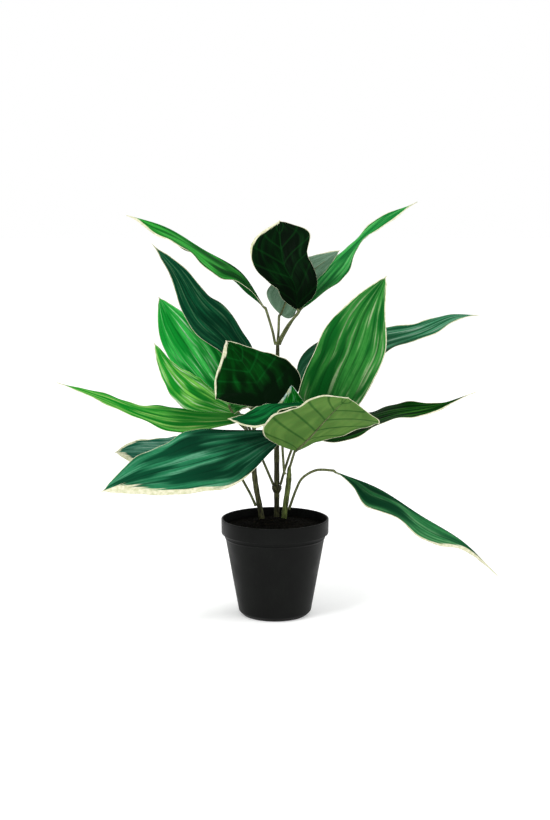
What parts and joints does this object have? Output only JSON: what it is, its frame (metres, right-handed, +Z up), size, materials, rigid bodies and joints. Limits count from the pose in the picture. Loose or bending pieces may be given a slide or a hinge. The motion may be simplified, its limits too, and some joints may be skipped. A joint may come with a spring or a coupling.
{
  "type": "potted peace lily",
  "caption": "Potted artificial peace lily with long pointed ribbed leaves edged in cream, in a tapered black nursery pot with a rim band.",
  "frame": {"origin": "centre of the pot's flat underside", "axes": "+Z up along the pot's axis, -Y towards the front of the plant"},
  "size_m": [0.4805, 0.3025, 0.4598],
  "materials": {
    "pot_plastic": "matte black moulded plastic",
    "soil": "dark crumbly potting soil",
    "stem": "satin olive brown",
    "petiole": "satin olive green",
    "leaf": "satin printed cloth, green with cream margins and streaks"
  },
  "bodies": {
    "root": {"pot": "pot_plastic", "soil": "soil", "stem_centre": "stem", "stem_collar": "stem", "stem_left": "stem", "stem_right": "stem", "petiole_back_left": "petiole", "petiole_back_right": "petiole", "petiole_centre_front": "petiole", "petiole_centre_left": "petiole", "petiole_front_left": "petiole", "petiole_front_right": "petiole", "petiole_inner_left": "petiole", "petiole_inner_right": "petiole", "petiole_left_back": "petiole", "petiole_left_behind": "petiole", "petiole_left_long": "petiole", "petiole_left_low": "petiole", "petiole_right_drooping": "petiole", "petiole_right_front": "petiole", "petiole_right_long": "petiole", "petiole_right_low": "petiole", "petiole_top_back": "petiole", "petiole_top_front": "petiole", "petiole_top_left": "petiole", "petiole_top_right": "petiole", "petiole_upper_left": "petiole", "leaf_back_left": "leaf", "leaf_back_right": "leaf", "leaf_centre_front": "leaf", "leaf_centre_left": "leaf", "leaf_front_left": "leaf", "leaf_front_right": "leaf", "leaf_inner_left": "leaf", "leaf_inner_right": "leaf", "leaf_left_back": "leaf", "leaf_left_behind": "leaf", "leaf_left_long": "leaf", "leaf_left_low": "leaf", "leaf_right_drooping": "leaf", "leaf_right_front": "leaf", "leaf_right_long": "leaf", "leaf_right_low": "leaf", "leaf_top_back": "leaf", "leaf_top_front": "leaf", "leaf_top_left": "leaf", "leaf_top_right": "leaf", "leaf_upper_left": "leaf"}
  },
  "joints": []
}
